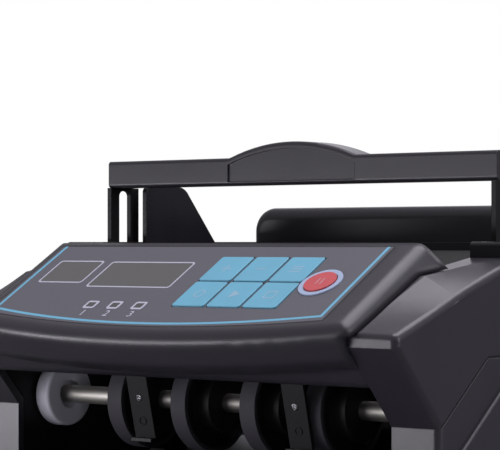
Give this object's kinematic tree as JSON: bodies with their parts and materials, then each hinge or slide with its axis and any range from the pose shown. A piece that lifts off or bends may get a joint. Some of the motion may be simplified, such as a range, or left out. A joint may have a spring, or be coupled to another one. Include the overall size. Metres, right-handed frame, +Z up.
{
  "type": "banknote counting machine",
  "caption": "Desktop banknote counting machine with a hopper behind a sloped keypad head, feed and transport wheels, a front stacker pocket and a carrying handle that slides down.",
  "frame": {"origin": "on the table under the middle of the machine's bounding box", "axes": "+Z up, +Y from the user's side to the back, +X to the user's right"},
  "size_m": [0.258, 0.244, 0.195],
  "materials": {
    "shell_charcoal": "fine moulded texture, satin",
    "deck_black": "moulded, satin black",
    "overlay_grey": "printed film, satin",
    "key_blue": "satin key caps",
    "key_red": "gloss cap",
    "ring_pale": "satin ring",
    "lens_olive": "smoked window",
    "led_clear": "smoked light window",
    "steel": "ground shaft",
    "frame_paint": "black powder coat",
    "zinc": "zinc plate",
    "wheel_black": "moulded nylon",
    "rubber_grey": "ground rubber",
    "rubber_black": "moulded rubber",
    "nylon_white": "turned nylon",
    "board_green": "circuit board",
    "brass": "turned brass",
    "copper_wound": "taped winding"
  },
  "bodies": {
    "chassis": {"base_pan": "zinc", "board_parts": "deck_black", "bushes": "brass", "casing_left": "shell_charcoal", "casing_right": "shell_charcoal", "control_board": "board_green", "display_lenses": "lens_olive", "drive_belts": "rubber_black", "fasteners": "zinc", "fuse_holder": "deck_black", "guide_rod": "steel", "head_bottom_plate": "frame_paint", "head_shell": "shell_charcoal", "hopper_floor": "frame_paint", "inlet_pins": "brass", "led_lenses": "led_clear", "main_board": "board_green", "motor": "zinc", "note_strips": "frame_paint", "panel_overlay": "overlay_grey", "power_inlet": "deck_black", "rear_cover": "frame_paint", "rear_rest": "deck_black", "reset_ring": "ring_pale", "retard_pads": "rubber_grey", "rocker_housing": "deck_black", "rubber_feet": "rubber_black", "side_frame_left": "frame_paint", "side_frame_right": "frame_paint", "skirt_left": "shell_charcoal", "skirt_right": "shell_charcoal", "stacker_back": "frame_paint", "stacker_tray": "shell_charcoal", "tie_bars": "steel", "top_deck": "deck_black", "transformer_coil": "copper_wound", "transformer_core": "zinc"},
    "handle": {"handle_bar": "shell_charcoal", "handle_arms": "frame_paint"},
    "guide_right": {"note_guide_right": "deck_black"},
    "guide_left": {"note_guide_left": "deck_black"},
    "transport": {"transport_shaft": "steel", "transport_wheels": "wheel_black", "wheel_tyres": "rubber_grey", "end_roller": "nylon_white"},
    "feed": {"feed_shaft": "steel", "feed_cores": "wheel_black", "feed_tyres": "rubber_grey"},
    "stacker": {"stacker_shaft": "steel", "stacker_wheels": "wheel_black"},
    "rotor": {"motor_shaft": "steel"},
    "reset": {"reset_key": "key_red"},
    "rocker": {"power_rocker": "key_red"},
    "knob": {"gap_knob": "deck_black"},
    "key_1_cap": {"key_1": "key_blue"},
    "key_2_cap": {"key_2": "key_blue"},
    "key_3_cap": {"key_3": "key_blue"},
    "key_4_cap": {"key_4": "key_blue"},
    "key_5_cap": {"key_5": "key_blue"},
    "key_6_cap": {"key_6": "key_blue"}
  },
  "joints": [
    {"name": "handle_lift", "type": "slide", "parent": "chassis", "child": "handle", "axis": [0, 0, 1], "range_m": [-0.024, 0]},
    {"name": "guide_right_slide", "type": "slide", "parent": "chassis", "child": "guide_right", "axis": [-1, 0, 0], "range_m": [0, 0.045]},
    {"name": "guide_left_slide", "type": "slide", "parent": "chassis", "child": "guide_left", "axis": [1, 0, 0], "range_m": [0, 0.045]},
    {"name": "transport_spin", "type": "hinge", "parent": "chassis", "child": "transport", "pos_m": [0, -0.036, 0.0815], "axis": [1, 0, 0], "continuous": true},
    {"name": "feed_spin", "type": "hinge", "parent": "chassis", "child": "feed", "pos_m": [0, 0.008, 0.1], "axis": [1, 0, 0], "continuous": true},
    {"name": "stacker_spin", "type": "hinge", "parent": "chassis", "child": "stacker", "pos_m": [0, -0.046, 0.038], "axis": [1, 0, 0], "continuous": true},
    {"name": "motor_spin", "type": "hinge", "parent": "chassis", "child": "rotor", "pos_m": [0.11, 0.068, 0.048], "axis": [1, 0, 0], "continuous": true},
    {"name": "rocker_tilt", "type": "hinge", "parent": "chassis", "child": "rocker", "pos_m": [-0.012, 0.1135, 0.034], "axis": [1, 0, 0], "range_deg": [-7, 7]},
    {"name": "knob_turn", "type": "hinge", "parent": "chassis", "child": "knob", "pos_m": [0.06, 0.117, 0.108], "axis": [0, 1, 0], "range_deg": [-150, 150]},
    {"name": "key_1_press", "type": "slide", "parent": "chassis", "child": "key_1_cap", "axis": [0, 0.515, -0.8572], "range_m": [0, 0.0005], "stiffness_N_per_m": 800},
    {"name": "key_2_press", "type": "slide", "parent": "chassis", "child": "key_2_cap", "axis": [0, 0.515, -0.8572], "range_m": [0, 0.0005], "stiffness_N_per_m": 800},
    {"name": "key_3_press", "type": "slide", "parent": "chassis", "child": "key_3_cap", "axis": [0, 0.515, -0.8572], "range_m": [0, 0.0005], "stiffness_N_per_m": 800},
    {"name": "key_4_press", "type": "slide", "parent": "chassis", "child": "key_4_cap", "axis": [0, 0.515, -0.8572], "range_m": [0, 0.0005], "stiffness_N_per_m": 800},
    {"name": "key_5_press", "type": "slide", "parent": "chassis", "child": "key_5_cap", "axis": [0, 0.515, -0.8572], "range_m": [0, 0.0005], "stiffness_N_per_m": 800},
    {"name": "key_6_press", "type": "slide", "parent": "chassis", "child": "key_6_cap", "axis": [0, 0.515, -0.8572], "range_m": [0, 0.0005], "stiffness_N_per_m": 800},
    {"name": "reset_press", "type": "slide", "parent": "chassis", "child": "reset", "axis": [0, 0.515, -0.8572], "range_m": [0, 0.0005], "stiffness_N_per_m": 800}
  ],
  "couplings": [
    {"joint": "feed_spin", "follows": "transport_spin", "ratio": 1},
    {"joint": "stacker_spin", "follows": "transport_spin", "ratio": 1.2222},
    {"joint": "motor_spin", "follows": "transport_spin", "ratio": 1.5714}
  ]
}
